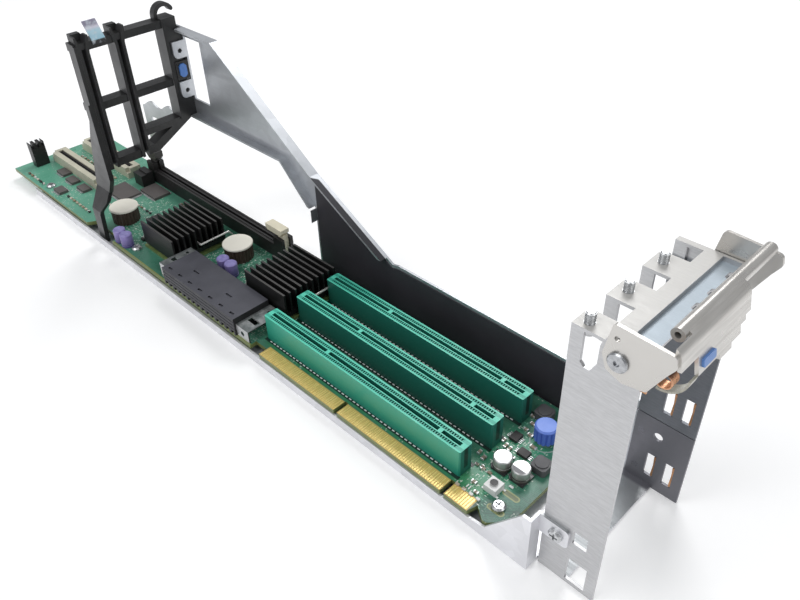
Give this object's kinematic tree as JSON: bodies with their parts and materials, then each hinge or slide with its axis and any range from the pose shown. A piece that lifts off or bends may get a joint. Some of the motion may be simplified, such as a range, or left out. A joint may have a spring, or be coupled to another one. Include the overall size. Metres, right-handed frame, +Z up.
{
  "type": "pcie riser card",
  "caption": "Long server riser board on a folded tray, with upright card slots, a card guide on a wall arm and a card cage with a hinged latch.",
  "frame": {"origin": "On the tray's underside, below the middle of the board.", "axes": "+X runs along the board to the card cage, +Y to the back wall, +Z up."},
  "size_m": [0.483, 0.074, 0.1342],
  "materials": {
    "board_green": "lacquered circuit board with copper traces and white print",
    "gold_contacts": "gold-plated contact pads",
    "tray_zinc": "zinc-plated sheet",
    "wall_zinc": "zinc-plated sheet with a faint crystal pattern",
    "rear_zinc": "zinc-plated sheet",
    "cage_steel": "sheet with fine brushing",
    "latch_steel": "warm satin sheet",
    "standoff_metal": "plain turned metal",
    "screw_metal": "plated screws",
    "rivet_metal": "plated rivets",
    "copper_strip": "copper spring strip",
    "touch_blue": "blue touch point",
    "slot_teal": "teal moulding",
    "socket_black": "black moulding",
    "latch_ivory": "ivory moulding",
    "latch_black": "black moulding",
    "carrier_olive": "olive chip carrier",
    "heatsink_black": "black anodised fins",
    "clip_wire": "bright spring wire",
    "anchor_black": "black blocks",
    "plug_grey": "grey moulding",
    "bracket_zinc": "zinc-plated brackets",
    "coil_brown": "wound coils",
    "cap_white": "off-white discs",
    "can_purple": "purple sleeves",
    "can_metal": "bare cans with a dark band",
    "knob_blue": "blue moulding",
    "seat_metal": "plain ring",
    "switch_white": "white switch",
    "inductor_grey": "dark ferrite",
    "chip_black": "black packages",
    "connector_black": "black moulding",
    "connector_cream": "cream moulding",
    "insert_dark": "dark contact carrier",
    "passives_mixed": "tan and black chip parts with tinned ends",
    "film_black": "dark insulating film",
    "guide_black": "black moulding",
    "button_blue": "blue button",
    "clip_clear": "thin pale tab"
  },
  "bodies": {
    "riser": {"riser_board": "board_green", "gold_fingers": "gold_contacts", "tray": "tray_zinc", "back_wall": "wall_zinc", "rear_plate": "rear_zinc", "end_frame": "cage_steel", "standoffs": "standoff_metal", "board_screws": "screw_metal", "tab_screw": "screw_metal", "wall_rivets": "rivet_metal", "latch_rivets": "rivet_metal", "bracket_studs": "screw_metal", "grounding_springs": "copper_strip", "latch_spring": "copper_strip", "card_slot_1": "slot_teal", "card_slot_2": "slot_teal", "card_slot_3": "slot_teal", "dimm_socket": "socket_black", "chip_package_1": "carrier_olive", "chip_package_2": "carrier_olive", "heatsink_1": "heatsink_black", "heatsink_2": "heatsink_black", "heatsink_clip_1": "clip_wire", "heatsink_clip_2": "clip_wire", "clip_anchors": "anchor_black", "plug_housing": "plug_grey", "plug_bracket_left": "bracket_zinc", "plug_bracket_right": "bracket_zinc", "coil_windings": "coil_brown", "coil_caps": "cap_white", "purple_capacitors": "can_purple", "metal_capacitors": "can_metal", "knob_seat": "seat_metal", "square_switch": "switch_white", "shielded_inductors": "inductor_grey", "soic_chips": "chip_black", "flat_chips": "chip_black", "black_block": "connector_black", "black_header": "connector_black", "cream_connector_1": "connector_cream", "cream_connector_2": "connector_cream", "connector_inserts": "insert_dark", "small_passives": "passives_mixed", "wall_insulator": "film_black", "card_guide": "guide_black", "guide_clip": "clip_clear"},
    "latch": {"card_latch": "latch_steel", "latch_touch_point": "touch_blue"},
    "near_socket_latch": {"dimm_latch_near": "latch_ivory"},
    "far_socket_latch": {"dimm_latch_far": "latch_black"},
    "knob": {"thumb_knob": "knob_blue"},
    "button": {"guide_button": "button_blue"}
  },
  "joints": [
    {"name": "latch_hinge", "type": "hinge", "parent": "riser", "child": "latch", "pos_m": [0.248, 0, 0.1136], "axis": [0, -1, 0], "range_deg": [-20, 45]},
    {"name": "near_socket_latch_hinge", "type": "hinge", "parent": "riser", "child": "near_socket_latch", "pos_m": [0.009, 0.0262, 0.0112], "axis": [0, 1, 0], "range_deg": [0, 25]},
    {"name": "far_socket_latch_hinge", "type": "hinge", "parent": "riser", "child": "far_socket_latch", "pos_m": [-0.127, 0.0262, 0.0112], "axis": [0, -1, 0], "range_deg": [0, 25]},
    {"name": "knob_turn", "type": "hinge", "parent": "riser", "child": "knob", "pos_m": [0.2005, 0.0148, 0.0096], "axis": [0, 0, 1], "continuous": true},
    {"name": "button_press", "type": "slide", "parent": "riser", "child": "button", "axis": [-1, 0, 0], "range_m": [0, 0.0015], "stiffness_N_per_m": 300}
  ]
}
